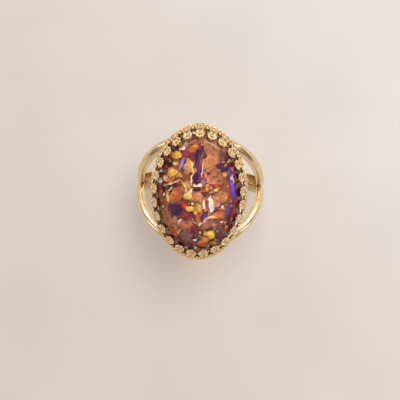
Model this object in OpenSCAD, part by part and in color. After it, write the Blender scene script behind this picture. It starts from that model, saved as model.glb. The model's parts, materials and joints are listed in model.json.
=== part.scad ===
// Cocktail ring: an oval mosaic glass cabochon in a lace-edged crown, on a split shank.
// The origin is the centre of the finger hole, the finger lies along Y and the stone faces +Z.
// All sizes are in millimetres.

/* [Finger hole] */
// Diameter of the finger hole
finger_d = 17.3; // [15:0.1:19]
// Extra radius of the hole along the shoulders
shoulder_relief = 0.03; // [0.02:0.01:0.06]

/* [Shank] */
// Width of one rail, along the finger
rail_w = 1.4; // [1.2:0.05:1.6]
// Thickness of a rail, outwards from the finger
rail_t = 1.2; // [1:0.05:1.4]
// How far a rail moves along the finger for each millimetre of height
spread = 0.8; // [0.6:0.05:0.9]
// Height over which a rail turns out of the back band
turn_h = 0.7; // [0.4:0.1:1.2]
// Radius of the solder at each shoulder
solder_r = 0.75; // [0.5:0.05:1]

/* [Stone] */
// Width of the stone
stone_w = 13; // [12:0.1:14]
// Length of the stone
stone_l = 18; // [17:0.1:19]
// Height of the upright girdle
girdle_h = 0.7; // [0.6:0.05:1]
// Height of the dome above the girdle
dome_h = 4.5; // [4:0.1:5]
// Fullness of the dome: 2 is an ellipse, more is squarer
dome_power = 2.2; // [2:0.05:2.3]
// Thickness of the foil on the back
foil_t = 0.08; // [0.05:0.01:0.1]
// Thickness of the dark glass at the stone's edge
base_glass_t = 0.35; // [0.25:0.05:0.4]
// Thickness of clear glass and chips over the domed dark glass
cover_t = 0.9; // [0.7:0.05:1.1]
// Thickness of the colour chips
chip_t = 0.25; // [0.2:0.05:0.3]
// Thickness of the gold leaf
leaf_t = 0.05; // [0.03:0.01:0.08]

/* [Crown] */
// Gap between the finger hole and the plate
plate_gap = 0.3; // [0.2:0.05:0.4]
// Thickness of the plate under the stone
plate_t = 0.5; // [0.4:0.05:0.7]
// Thickness of the gallery strip
wall_t = 0.33; // [0.25:0.01:0.36]
// Height of the gallery strip below the prongs
wall_h = 1.4; // [1.2:0.05:1.6]
// Height of the prongs above the gallery strip
prong_h = 1.6; // [1.4:0.05:1.8]
// Number of prongs
prong_n = 25; // [21:2:25]
// Radius of a prong's petal
petal_r = 0.6; // [0.45:0.01:0.62]
// Radius of a bead on a petal
bead_r = 0.19; // [0.12:0.01:0.2]

/* [Hidden] */

gold = "#dcb878";
gold_dark = "#b98f4e";
finger_r = finger_d / 2;
mid_r = finger_r + rail_t / 2;
outer_r = finger_r + rail_t;
plate_z = finger_r + plate_gap;
seat_z = plate_z + plate_t;
rim_z = seat_z + wall_h;
chip_z = seat_z + foil_t + base_glass_t;
girdle_z = seat_z + girdle_h;
// Half widths and half lengths of the ovals: stone, plate, foot of the wall, its rim, prong tips
stone_oval = [stone_w, stone_l] / 2;
plate_oval = stone_oval + [0.75, 1.3];
foot_oval = stone_oval + [0.7, 1.2];
rim_oval = stone_oval + [0.4, 0.65];
tip_oval = stone_oval - [0.2, 0.45];
rail_steps = 120;
oval_steps = 64;
dome_steps = 10;
eps = 0.01;
// Larger than the ring, for cutting tools
big = 3 * outer_r;

// --- Ovals ---

// Point of an oval at angle t from its +Y end, turning towards +X
function oval_point(o, t) = [o[0] * sin(t), o[1] * cos(t)];
function oval_points(o, n = oval_steps) = [for (i = [0 : n - 1]) oval_point(o, -360 * i / n)];
// Direction of the oval's outward normal at angle t, from +X
function normal_turn(o, t) = atan2(cos(t) / o[1], sin(t) / o[0]);
// Distance from the centre to the oval's tangent line with normal direction turn
function reach(o, turn) = norm([o[0] * cos(turn), o[1] * sin(turn)]);
// Pairs of arc length and angle around the rim
function chord(o, t) = norm(oval_point(o, t + 1) - oval_point(o, t));
rim_arc = [for (t = 0, s = 0; t <= 360; s = s + chord(rim_oval, t), t = t + 1) [s, t]];
rim_length = rim_arc[360][0];
pitch = rim_length / prong_n;
// Half width of a prong's foot
stem = pitch * 0.29;
// How far a bead's centre lies inside the strip's outer face
bead_set = wall_t * 0.35;
// Radius of the dot pierced in each panel of the gallery strip
pierced_r = 0.2;
// Height of the band round the foot of the gallery strip
band_h = wall_h * 0.38;
// Angle of the place i pitches round the rim from the +Y end
function place(i) = lookup((i + prong_n) % prong_n * pitch, rim_arc);

// Puts children on an oval at height z, facing out, and leans them so that they meet
// the oval above after a rise of dz
module on_oval(i, low, high, z, dz) {
    t = place(i);
    turn = normal_turn(low, t);
    lean = atan((reach(low, turn) - reach(high, turn)) / dz);
    p = oval_point(low, t);
    translate([p[0], p[1], z]) rotate([0, 0, turn]) rotate([0, -lean, 0]) children();
}

// Length up the slope between two ovals at place i
function slope(i, low, high, dz) =
    let (turn = normal_turn(low, place(i))) norm([reach(low, turn) - reach(high, turn), dz]);

// Sheet metal cut to a 2D outline, its outer face at x = 0
module sheet(t) translate([-t, 0, 0]) rotate([90, 0, 90]) linear_extrude(t) children();

module oval_slab(o, z, h) translate([0, 0, z]) linear_extrude(h) polygon(oval_points(o));

// --- Shank ---

// How far the rail has moved out at height z, and the slope of that
function rise(z) = z < -turn_h ? 0 : z > turn_h ? z : pow(z + turn_h, 2) / (4 * turn_h);
function rise_slope(z) = z < -turn_h ? 0 : z > turn_h ? 1 : (z + turn_h) / (2 * turn_h);

// D section of a rail as [outwards, across]: flat inside, crowned outside
flank = rail_t * 0.12;
rail_section = concat(
    [[-rail_t * 0.6, rail_w / 2], [-rail_t * 0.6, -rail_w / 2]],
    [for (a = [-90 : 22.5 : 90]) [-flank + (rail_t / 2 + flank) * cos(a), rail_w / 2 * sin(a)]]);

function rail_point(angle, p) =
    let (z = mid_r * sin(angle),
         y = rail_w / 2 + spread * rise(z),
         k = spread * rise_slope(z) * cos(angle),
         across = p[1] / norm([1, k]),
         r = mid_r + p[0])
    [r * cos(angle) + across * k * sin(angle), y + across, r * sin(angle) - across * k * cos(angle)];

module rail_loop() {
    n = len(rail_section);
    polyhedron(
        [for (i = [0 : rail_steps - 1], p = rail_section) rail_point(360 * i / rail_steps, p)],
        [for (i = [0 : rail_steps - 1], j = [0 : n - 1], half = [0, 1])
            let (a = i * n, b = (i + 1) % rail_steps * n, k = (j + 1) % n)
            half == 0 ? [a + j, b + j, b + k] : [a + j, b + k, a + k]]);
}

module finger_cylinder(r)
    rotate([90, 0, 0]) cylinder(r = r, h = big, center = true, $fn = rail_steps);

module above_plate_foot() translate([-big / 2, -big / 2, plate_z]) cube(big);

// A rail bored for the finger, eased a little at the shoulders and filed flat under the plate
module rail() {
    relief_low = finger_r * 0.07;
    relief_high = finger_r * 0.77;
    difference() {
        rail_loop();
        finger_cylinder(finger_r);
        intersection() {
            finger_cylinder(finger_r + shoulder_relief);
            translate([-big / 2, -big / 2, relief_low]) cube([big, big, relief_high - relief_low]);
        }
        above_plate_foot();
    }
}

module fingertip_rail() color(gold) rail();

module knuckle_rail() color(gold) mirror([0, 1, 0]) rail();

// Solder that fills the bottom of the groove between the two rails, round the back
module back_solder() {
    groove_r = mid_r + rail_t * 0.16;
    color(gold_dark)
    rotate([90, 0, 0]) rotate([0, 0, 180]) rotate_extrude(angle = 180, $fn = 120)
    difference() {
        translate([mid_r - flank, -rail_w / 4]) square([groove_r - mid_r + flank, rail_w / 2]);
        for (side = [-1, 1]) translate([mid_r, side * rail_w / 2]) polygon(rail_section);
    }
}

// Solder between the crown of each shoulder and the plate
module shoulder_solders() {
    // A little below where the rail's crown reaches the plate
    angle = asin(plate_z / outer_r) - 2;
    x = outer_r * cos(angle);
    y = rail_w / 2 + spread * mid_r * sin(angle);
    color(gold_dark)
    for (side_x = [-1, 1], side_y = [-1, 1])
        difference() {
            translate([side_x * x, side_y * y, plate_z - solder_r * 0.13]) sphere(r = solder_r, $fn = 32);
            finger_cylinder(outer_r);
            above_plate_foot();
        }
}

// --- Crown ---

module base_plate() color(gold) oval_slab(plate_oval, plate_z, plate_t);

// One panel of the pierced strip: a low band, and the foot of a prong's tapered stem
module wall_panel(i) {
    h = slope(i, foot_oval, rim_oval, wall_h);
    // Neighbouring panels overlap by a little at their edges
    overlap = 0.06;
    // How much wider than its neck a stem is at the band
    splay = 0.15;
    dot_z = h * 0.42;
    half = norm(oval_point(foot_oval, place(i + 0.5)) - oval_point(foot_oval, place(i - 0.5))) / 2 + overlap;
    on_oval(i, foot_oval, rim_oval, seat_z, wall_h) {
        difference() {
            sheet(wall_t)
                polygon([[-half, 0], [half, 0], [half, band_h], [stem + splay, band_h], [stem, h], [-stem, h],
                         [-stem - splay, band_h], [-half, band_h]]);
            translate([0, 0, dot_z])
                rotate([0, 90, 0]) cylinder(r = pierced_r, h = pitch, center = true, $fn = 24);
        }
    }
}

module gallery_wall() {
    color(gold) {
        for (i = [0 : prong_n - 1]) wall_panel(i);
        // Bead on a short stalk in each notch between the prongs
        for (i = [0 : prong_n - 1])
            on_oval(i + 0.5, foot_oval, rim_oval, seat_z, wall_h) {
                translate([-bead_set, 0, wall_h * 0.8]) sphere(r = bead_r * 1.2, $fn = 24);
                sheet(wall_t * 0.9) translate([-bead_r * 0.7, eps]) square([bead_r * 1.4, wall_h * 0.8]);
            }
    }
}

// Solder along the inside foot of the gallery strip
module wall_solder() {
    gap = 0.05;
    width = 0.16;
    color(gold_dark)
    difference() {
        oval_slab(foot_oval - [1, 1] * (wall_t + gap), seat_z, width);
        oval_slab(foot_oval - [1, 1] * (wall_t + gap + width), seat_z - eps, width + 2 * eps);
    }
}

// A tapered stem, a round petal and the five beads round its edge
module prong(i) {
    h = slope(i, rim_oval, tip_oval, prong_h);
    petal_z = h - petal_r;
    neck = petal_r * 0.5;
    color(gold)
    on_oval(i, rim_oval, tip_oval, rim_z, prong_h) {
        difference() {
            sheet(wall_t) {
                polygon([[-stem, eps], [stem, eps], [neck, petal_z], [-neck, petal_z]]);
                translate([0, petal_z]) circle(r = petal_r, $fn = 48);
            }
            // Dimple in the middle of the petal
            translate([bead_r * 0.4, 0, petal_z]) sphere(r = bead_r, $fn = 24);
        }
        for (a = [-84 : 42 : 84])
            translate([-bead_set, petal_r * sin(a), petal_z + petal_r * cos(a)]) sphere(r = bead_r, $fn = 24);
    }
}

// --- Stone ---

// Level j of a dome of height h above the girdle, as [height, share of the full oval]
function dome_level(j, h) =
    let (u = sin(90 * j / dome_steps)) [girdle_z + h * u, pow(1 - pow(u, dome_power), 1 / dome_power)];

// A full dome whose surface lies `inset` inside the stone's. It stands upright from chip_z to the
// girdle, and closes in a small flat facet at the top
module dome(inset) {
    o = stone_oval - [inset, inset];
    h = dome_h - inset;
    levels = concat([[chip_z, 1]], [for (j = [0 : dome_steps - 1]) dome_level(j, h)], [[girdle_z + h, 0.03]]);
    n = oval_steps;
    top = len(levels) - 1;
    polyhedron(
        [for (l = levels, p = oval_points(o)) [p[0] * l[1], p[1] * l[1], l[0]]],
        concat(
            [[for (i = [0 : n - 1]) i], [for (i = [n - 1 : -1 : 0]) top * n + i]],
            [for (j = [0 : top - 1], i = [0 : n - 1], half = [0, 1])
                let (a = j * n, b = (j + 1) * n, k = (i + 1) % n)
                half == 0 ? [a + i, b + i, b + k] : [a + i, b + k, a + k]]));
}

module foil_backing() color("#c9a35a") oval_slab(stone_oval - [0.1, 0.1], seat_z, foil_t);

module base_glass() {
    color("#3a1414") {
        oval_slab(stone_oval, seat_z + foil_t, base_glass_t);
        dome(cover_t);
    }
}

// A chip's outline seen from above: a rounded oval of length l and width w, turned from +X
module chip(x, y, l, w, turn = 0, power = 0.7, n = 10) {
    translate([x, y]) rotate(turn)
    polygon([for (i = [0 : n - 1])
        let (a = 360 * i / n, c = cos(a), s = sin(a))
        [l / 2 * sign(c) * pow(abs(c), power), w / 2 * sign(s) * pow(abs(s), power)]]);
}

// Cuts the outlines out of a sheet of thickness t that lies `low` above the domed dark glass
module on_dome(low, t) {
    intersection() {
        translate([0, 0, chip_z]) linear_extrude(big) children();
        difference() {
            dome(cover_t - low - t);
            dome(cover_t - low);
        }
    }
}

module tan_chips() {
    color("#b9774a") on_dome(0, chip_t) {
        chip(2.4, 5.2, 2.9, 2.4, 80);
        chip(2.3, 2.4, 2.3, 2.6, 0);
        chip(-0.6, 5.3, 1.5, 1.8, 20);
        chip(-1.0, -4.4, 2.2, 1.5, 15);
        chip(1.9, -6.2, 1.9, 1.1, -25);
        chip(-3.5, -2.6, 1.6, 1.1, 60);
    }
}

module amber_chips() {
    color("#c8782a") on_dome(0, chip_t) {
        chip(-3.2, -0.4, 1.7, 1.2, 20);
        chip(-4.7, -1.1, 1.2, 0.9, 70);
        chip(-0.2, -0.3, 1.9, 1.1, 0);
        chip(-1.6, -2.1, 1.5, 1.1, 30);
        chip(-2.3, 6.6, 1.3, 1.0, 25);
        chip(3.3, -4.6, 1.6, 1.1, -40);
    }
}

module gold_chips() {
    color("#d8ac3c") on_dome(0, chip_t) {
        chip(-2.8, 5.0, 1.4, 1.0, -30);
        chip(-3.8, 2.4, 1.4, 0.9, 15);
        chip(-1.6, 1.5, 1.3, 0.9, -20);
        chip(1.3, -4.3, 1.2, 1.0, 10);
        chip(2.1, -1.9, 1.2, 0.9, 40);
    }
}

module violet_chips() {
    color("#5b2f8a") on_dome(0, chip_t) {
        chip(-0.2, 2.9, 1.2, 2.1, 0);
        chip(4.4, 1.2, 0.8, 3.6, -8);
        chip(4.0, -2.6, 0.9, 1.7, -25);
        chip(-3.2, 3.8, 1.1, 0.7, 0);
        chip(-3.1, -5.0, 1.5, 0.9, 35);
        chip(0.5, -7.2, 1.4, 0.6, 0);
    }
}

module maroon_chips() {
    color("#6b2330") on_dome(0, chip_t) {
        chip(-4.3, 4.2, 1.2, 1.0, 60);
        chip(-4.8, 0.8, 1.0, 1.1, 0);
        chip(4.2, 4.3, 0.9, 1.5, 15);
        chip(0.3, -2.1, 1.2, 1.2, 0);
        chip(-1.4, -6.3, 1.5, 1.0, -10);
        chip(0.2, 7.1, 1.7, 0.7, 0);
        chip(-4.3, -3.7, 0.7, 1.0, 0);
    }
}

// Torn gold leaf over the seams between the chips
module gold_leaf() {
    color("#e9cf8a") on_dome(chip_t, leaf_t) {
        chip(-3.9, 1.3, 1.8, 0.35, 12, 0.9, 8);
        chip(-2.4, 0.4, 1.7, 0.3, -65, 0.9, 8);
        chip(-0.4, 1.2, 1.5, 0.3, 5, 0.9, 8);
        chip(-2.3, -3.4, 0.3, 1.5, 20, 0.9, 8);
        chip(1.1, 0.6, 0.35, 2.2, 15, 0.9, 8);
        chip(3.2, -0.8, 1.5, 0.3, 30, 0.9, 8);
    }
}

module glass_dome() {
    color("#f3d9c6", 0.35)
    difference() {
        dome(0);
        dome(cover_t - chip_t - leaf_t);
    }
}

fingertip_rail();
knuckle_rail();
back_solder();
shoulder_solders();
base_plate();
gallery_wall();
wall_solder();
foil_backing();
base_glass();
tan_chips();
amber_chips();
gold_chips();
violet_chips();
maroon_chips();
gold_leaf();
glass_dome();
for (i = [1 : prong_n])
    prong(i - 1);
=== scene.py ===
"""Looks of the cocktail ring: cast and polished gold metalwork round a mosaic glass cabochon.

All lengths are in millimetres until they reach Blender. The ring stands on the back of its
shank, the finger lies along Y and the stone faces +Z.
"""
import json
import math

import bpy
import numpy as np
from mathutils import Matrix, Quaternion, Vector


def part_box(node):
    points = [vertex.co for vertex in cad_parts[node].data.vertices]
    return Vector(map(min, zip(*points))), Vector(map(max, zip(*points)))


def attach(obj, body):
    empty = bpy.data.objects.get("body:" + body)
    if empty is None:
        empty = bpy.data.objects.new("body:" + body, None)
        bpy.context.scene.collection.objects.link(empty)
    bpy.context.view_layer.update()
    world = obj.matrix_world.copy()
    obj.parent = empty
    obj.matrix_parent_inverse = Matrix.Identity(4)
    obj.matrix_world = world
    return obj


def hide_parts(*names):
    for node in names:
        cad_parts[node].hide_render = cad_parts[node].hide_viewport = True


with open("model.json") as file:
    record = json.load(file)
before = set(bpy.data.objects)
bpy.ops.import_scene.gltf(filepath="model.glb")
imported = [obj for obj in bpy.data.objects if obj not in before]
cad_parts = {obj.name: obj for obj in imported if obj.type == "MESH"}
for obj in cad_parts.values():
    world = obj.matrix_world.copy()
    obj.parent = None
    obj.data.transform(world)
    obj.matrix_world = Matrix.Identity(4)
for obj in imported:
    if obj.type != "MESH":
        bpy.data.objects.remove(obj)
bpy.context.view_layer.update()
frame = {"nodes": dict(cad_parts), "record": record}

MM = 0.001
TAU = 2 * math.pi
OVAL_POINTS = 180


def box_mm(node):
    low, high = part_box(node)
    return np.array(low) / MM, np.array(high) / MM


# --- Sizes that the CAD model gives ---

bore = frame["record"]["mounts"][0]["dims"]
finger_r = bore["r_mm"]
outer_r = -box_mm("fingertip_rail")[0][2]
rail_t = outer_r - finger_r
mid_r = finger_r + rail_t / 2
plate_low, plate_high = box_mm("base_plate")
plate_z, seat_z = plate_low[2], plate_high[2]
plate_oval = plate_high[:2]
glass_low, glass_high = box_mm("glass_dome")
stone_oval = glass_high[:2]
stone_top = glass_high[2]
foil_top = box_mm("foil_backing")[1][2]
chip_z = glass_low[2]
prong_n = sum(1 for name in frame["nodes"] if name.startswith("prong_"))

# --- Sizes of the finer shapes ---

rail_w = 1.4
rail_spread = 0.8      # how fast each rail moves out along the finger as it rises
rail_turn = 0.7        # half the height over which it bends out
rail_flank = rail_t * 0.12
foot_oval = stone_oval + np.array([0.7, 1.2])
rim_oval = stone_oval + np.array([0.4, 0.65])
tip_oval = stone_oval - np.array([0.2, 0.45])
wall_rise = 1.4
wall_t = 0.33
wire_r = 0.1           # the wire that edges the strip's gores and the prongs' stems
wire_out = -0.03
band_h = wall_rise * 0.38
prong_rise = 1.6
petal_r = 0.6
bead_r = 0.2052
girdle_z = seat_z + 0.7
cover_t = 0.9          # clear glass over the dark core
dome_power = 2.2
dome_limit = 0.985     # how near the dome's edge anything laid on it may come

rng = np.random.default_rng(25)


# --- Ovals and the stone's dome ---

def oval_point(oval, t):
    """Points of an oval at angles t from its +Y end, turning towards +X."""
    return np.stack([oval[0] * np.sin(t), oval[1] * np.cos(t)], axis=-1)


def oval_normal(oval, t):
    n = np.stack([np.sin(t) / oval[0], np.cos(t) / oval[1]], axis=-1)
    return n / np.linalg.norm(n, axis=-1, keepdims=True)


arc_turns = np.linspace(0, TAU, 1441)
arc_steps = np.linalg.norm(np.diff(oval_point(rim_oval, arc_turns), axis=0), axis=1)
arc_lengths = np.concatenate([[0], np.cumsum(arc_steps)])
pitch = arc_lengths[-1] / prong_n
stem = pitch * 0.29


def place(i):
    """Angle of the place i pitches round the rim from the +Y end."""
    return np.interp(np.mod(i, prong_n) * pitch, arc_lengths, arc_turns)


def dome_curve(u):
    """Height of the dome at a share u of its radius, or its radius at a share u of its height."""
    return (1 - u ** dome_power) ** (1 / dome_power)


def dome_rings(oval, height, shares, narrowest, ripple=None):
    """Rings up a dome on an oval. The top one keeps a share `narrowest` of the oval."""
    angles = -np.arange(OVAL_POINTS) * TAU / OVAL_POINTS
    rings = []
    for u in shares:
        flat = oval_point(oval * max(dome_curve(u), narrowest), angles)
        if ripple:
            flat = flat * ripple(angles, u)[:, None]
        rings.append(np.column_stack([flat, np.full(OVAL_POINTS, girdle_z + height * u)]))
    return rings


def on_shell(xy, inset):
    """Points above xy on the dome that lies `inset` inside the stone's surface."""
    xy = np.atleast_2d(xy).astype(float)
    oval = stone_oval - inset
    rho = np.linalg.norm(xy / oval, axis=1)
    xy = xy * np.minimum(1, dome_limit / np.maximum(rho, 1e-9))[:, None]
    rho = np.minimum(rho, dome_limit)
    z = girdle_z + (stone_top - girdle_z - inset[:, 0]) * dome_curve(rho)
    return np.column_stack([xy, z])


# --- Meshes ---

def add_piece(name, node, slot, verts, faces, material, tones=None, crease=None):
    """Makes a smooth-shaded piece in place of a CAD node, from points in millimetres."""
    mesh = bpy.data.meshes.new(name)
    mesh.from_pydata((np.asarray(verts) * MM).tolist(), [], [list(map(int, f)) for f in faces])
    mesh.validate()
    mesh.shade_smooth()
    if crease is not None:
        mesh.set_sharp_from_angle(angle=math.radians(crease))
    if tones is not None:
        layer = mesh.color_attributes.new("tone", "FLOAT_COLOR", "POINT")
        layer.data.foreach_set("color", np.column_stack([tones, np.ones(len(tones))]).ravel())
    mesh.materials.append(material)
    piece = bpy.data.objects.new(name, mesh)
    bpy.context.scene.collection.objects.link(piece)
    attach(piece, "root")
    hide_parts(node)
    return piece


def grid_faces(rows, columns, close_rows=False):
    """Quads of a tube of `rows` rings with `columns` points each, facing out for rising rings."""
    faces = []
    for i in range(rows if close_rows else rows - 1):
        low, high = i * columns, (i + 1) % rows * columns
        for j in range(columns):
            k = (j + 1) % columns
            faces.append((low + j, low + k, high + k, high + j))
    return faces


def capped_loft(rings):
    """A closed solid through rings of points that run counterclockwise, from the lowest up."""
    rings = np.asarray(rings)
    rows, columns = rings.shape[:2]
    verts = rings.reshape(-1, 3)
    centres = np.array([rings[0].mean(axis=0), rings[-1].mean(axis=0)])
    faces = grid_faces(rows, columns)
    bottom, top = rows * columns, rows * columns + 1
    last = (rows - 1) * columns
    for j in range(columns):
        k = (j + 1) % columns
        faces.append((bottom, k, j))
        faces.append((top, last + j, last + k))
    return np.vstack([verts, centres]), faces


def oval_rings(profile, oval):
    """Rings round an oval. The profile lists (inset from the oval, height)."""
    turns = -np.arange(OVAL_POINTS) * TAU / OVAL_POINTS
    return np.array([np.column_stack([oval_point(oval - inset, turns), np.full(OVAL_POINTS, z)])
                     for inset, z in profile])


def join(parts):
    """Joins (points, faces) pairs into one pair."""
    verts, faces, start = [], [], 0
    for points, quads in parts:
        verts.append(points)
        faces.extend([tuple(start + v for v in f) for f in quads])
        start += len(points)
    return np.vstack(verts), faces


def surface_net(field, low, step, wrap=False):
    """Points and quads of the surface where a sampled field is zero. It is negative inside.
    With wrap, the field goes round along its first axis."""
    if wrap:
        field = np.concatenate([field, field[:1]])
    cells = [n - 1 for n in field.shape]
    total = np.zeros(cells + [3])
    count = np.zeros(cells)
    crossings = []
    for axis in range(3):
        first = [slice(0, -1) if a == axis else slice(None) for a in range(3)]
        second = [slice(1, None) if a == axis else slice(None) for a in range(3)]
        a, b = field[tuple(first)], field[tuple(second)]
        cross = (a < 0) != (b < 0)
        crossings.append((cross, a < 0))
        share = np.divide(a, a - b, out=np.zeros_like(a), where=cross)
        where = np.indices(a.shape).astype(float)
        where[axis] += share
        u, v = [n for n in range(3) if n != axis]
        for du in (0, 1):
            for dv in (0, 1):
                cut = [slice(None)] * 3
                cut[u] = slice(du, du + cells[u])
                cut[v] = slice(dv, dv + cells[v])
                cut = tuple(cut)
                count += cross[cut]
                for c in range(3):
                    total[..., c] += where[c][cut] * cross[cut]
    active = count > 0
    number = np.full(cells, -1)
    number[active] = np.arange(active.sum())
    verts = total[active] / count[active][:, None] * step + low
    faces = []
    for axis in range(3):
        u, v = [n for n in range(3) if n != axis]
        cross, inside = crossings[axis]
        trim = tuple(slice(0, n) for n in cells)
        pick, inside = cross[trim].copy(), inside[trim]
        for a in (u, v):
            if not (wrap and a == 0):
                pick[tuple(0 if n == a else slice(None) for n in range(3))] = False
        corners = [number, np.roll(number, 1, u),
                   np.roll(number, (1, 1), (u, v)), np.roll(number, 1, v)]
        quads = np.stack([c[pick] for c in corners], axis=1)
        flip = inside[pick] == (axis == 1)
        quads[flip] = quads[flip][:, ::-1]
        faces.extend(quads.tolist())
    return verts, faces


def sample(low, high, step):
    """Coordinates of a grid over a box."""
    axes = [np.arange(a, b + s / 2, s) for a, b, s in zip(low, high, np.broadcast_to(step, 3))]
    return np.meshgrid(*axes, indexing="ij")


def blurred(field):
    """Evens out a field between neighbouring samples, so that its surface has no pinched cells."""
    for axis in range(3):
        field = (np.roll(field, 1, axis) + 2 * field + np.roll(field, -1, axis)) / 4
    return field


def sphere(p, centre, r):
    return np.sqrt(sum((p[i] - centre[i]) ** 2 for i in range(3))) - r


def rod(p, start, end, r):
    start, end = np.array(start, float), np.array(end, float)
    span = end - start
    t = sum((p[i] - start[i]) * span[i] for i in range(3)) / (span @ span)
    t = np.clip(t, 0, 1)
    return np.sqrt(sum((p[i] - start[i] - t * span[i]) ** 2 for i in range(3))) - r


def ring(p, centre, radius, r):
    """A ring of wire in the plane across x."""
    around = np.hypot(p[1] - centre[1], p[2] - centre[2]) - radius
    return np.hypot(around, p[0] - centre[0]) - r


def plate_of(outline, x, mid, thickness, rounding):
    """A plate with the given 2D outline distance, across x, with rounded edges."""
    a = outline + rounding
    b = np.abs(x - mid) - thickness / 2 + rounding
    return np.hypot(np.maximum(a, 0), np.maximum(b, 0)) + np.minimum(np.maximum(a, b), 0) - rounding


def blend_min(a, b, k):
    h = np.clip(0.5 + 0.5 * (b - a) / k, 0, 1)
    return b * (1 - h) + a * h - k * h * (1 - h)


def blend_max(a, b, k):
    return -blend_min(-a, -b, k)


# --- Materials ---

def srgb(r, g, b):
    """Linear colour of a tone given in everyday 0 to 255 values."""
    c = np.array([r, g, b]) / 255
    return np.where(c <= 0.04045, c / 12.92, ((c + 0.055) / 1.055) ** 2.4)


def new_material(name):
    material = bpy.data.materials.new(name)
    material.use_nodes = True
    nodes, links = material.node_tree.nodes, material.node_tree.links
    return material, nodes, links, nodes["Principled BSDF"]


def noise(nodes, links, scale, detail=3.0, stretch=None, roughness=0.5):
    coords = nodes.new("ShaderNodeTexCoord")
    texture = nodes.new("ShaderNodeTexNoise")
    texture.inputs["Scale"].default_value = scale
    texture.inputs["Detail"].default_value = detail
    texture.inputs["Roughness"].default_value = roughness
    source = coords.outputs["Object"]
    if stretch:
        mapping = nodes.new("ShaderNodeMapping")
        mapping.inputs["Scale"].default_value = stretch
        links.new(source, mapping.inputs["Vector"])
        source = mapping.outputs["Vector"]
    links.new(source, texture.inputs["Vector"])
    return texture.outputs["Fac"]


def ramp(nodes, links, source, stops):
    node = nodes.new("ShaderNodeValToRGB")
    elements = node.color_ramp.elements
    while len(elements) < len(stops):
        elements.new(0.5)
    for element, (position, colour) in zip(elements, stops):
        element.position = position
        element.color = (*colour, 1)
    links.new(source, node.inputs["Fac"])
    return node.outputs["Color"]


def map_range(nodes, links, source, low, high):
    node = nodes.new("ShaderNodeMapRange")
    node.inputs["To Min"].default_value = low
    node.inputs["To Max"].default_value = high
    links.new(source, node.inputs["Value"])
    return node.outputs["Result"]


def bump(nodes, links, shader, source, strength, distance_mm):
    node = nodes.new("ShaderNodeBump")
    node.inputs["Strength"].default_value = strength
    node.inputs["Distance"].default_value = distance_mm * MM
    links.new(source, node.inputs["Height"])
    links.new(node.outputs["Normal"], shader.inputs["Normal"])


def multiply(nodes, links, a, b):
    node = nodes.new("ShaderNodeMix")
    node.data_type = "RGBA"
    node.blend_type = "MULTIPLY"
    node.inputs["Factor"].default_value = 1
    links.new(a, node.inputs["A"])
    links.new(b, node.inputs["B"])
    return node.outputs["Result"]


def multiply_by_tone(nodes, links, source):
    """Multiplies a colour by the piece's own "tone" attribute."""
    tone = nodes.new("ShaderNodeVertexColor")
    tone.layer_name = "tone"
    return multiply(nodes, links, tone.outputs["Color"], source)


def gold_material(name, tone, roughness, scratch, with_recess_shade_and_patina=False):
    """Plated metal: warm and pale patches, uneven polish and fine wear."""
    material, nodes, links, shader = new_material(name)
    shader.inputs["Metallic"].default_value = 1
    patches = noise(nodes, links, 900, 4)
    pale = np.minimum(tone * np.array([1.06, 1.1, 1.22]), 1)
    warm = tone * np.array([0.96, 0.9, 0.76])
    colour = ramp(nodes, links, patches, [(0.3, warm), (0.5, tone), (0.72, pale)])
    # The tone attribute darkens the cast gold in its recesses: painted shade, partly patina.
    if with_recess_shade_and_patina:
        colour = multiply_by_tone(nodes, links, colour)
    links.new(colour, shader.inputs["Base Color"])
    polish = noise(nodes, links, 2600, 5)
    wear = map_range(nodes, links, polish, roughness * 0.6, roughness * 1.5)
    links.new(wear, shader.inputs["Roughness"])
    scratches = noise(nodes, links, 5200, 6, (1, 0.22, 1))
    bump(nodes, links, shader, scratches, scratch, 0.02)
    return material


def foil_material():
    material, nodes, links, shader = new_material("crinkled_foil")
    shader.inputs["Metallic"].default_value = 1
    shader.inputs["Roughness"].default_value = 0.3
    creases = noise(nodes, links, 1500, 6)
    tones = [(0.35, srgb(150, 108, 44)), (0.65, srgb(226, 188, 104))]
    links.new(ramp(nodes, links, creases, tones), shader.inputs["Base Color"])
    bump(nodes, links, shader, creases, 0.6, 0.05)
    return material


def core_material():
    """Dark red-brown glass, cloudy and mottled."""
    material, nodes, links, shader = new_material("dark_core_glass")
    clouds = noise(nodes, links, 420, 5)
    tones = [(0.3, srgb(40, 12, 20)), (0.45, srgb(92, 32, 28)),
             (0.56, srgb(150, 82, 48)), (0.7, srgb(74, 26, 40))]
    links.new(ramp(nodes, links, clouds, tones), shader.inputs["Base Color"])
    shader.inputs["Roughness"].default_value = 0.25
    shader.inputs["Specular IOR Level"].default_value = 0.15
    bump(nodes, links, shader, noise(nodes, links, 2400, 4), 0.25, 0.03)
    return material


def chip_material(name, metallic, roughness):
    """Coloured glass over foil: its tone comes from the piece, with flecks and cloudy depth."""
    material, nodes, links, shader = new_material(name)
    clouds = noise(nodes, links, 1500, 6, roughness=0.62)
    depths = [(0.27, (0.3, 0.22, 0.36)), (0.42, (0.8, 0.72, 0.8)),
              (0.55, (1, 1, 0.96)), (0.74, (1.6, 1.5, 1.25))]
    shade = ramp(nodes, links, clouds, depths)
    links.new(multiply_by_tone(nodes, links, shade), shader.inputs["Base Color"])
    shader.inputs["Metallic"].default_value = metallic
    shader.inputs["Roughness"].default_value = roughness
    shader.inputs["Specular IOR Level"].default_value = 0.15
    bump(nodes, links, shader, noise(nodes, links, 2600, 5), 0.5, 0.04)
    return material


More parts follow.
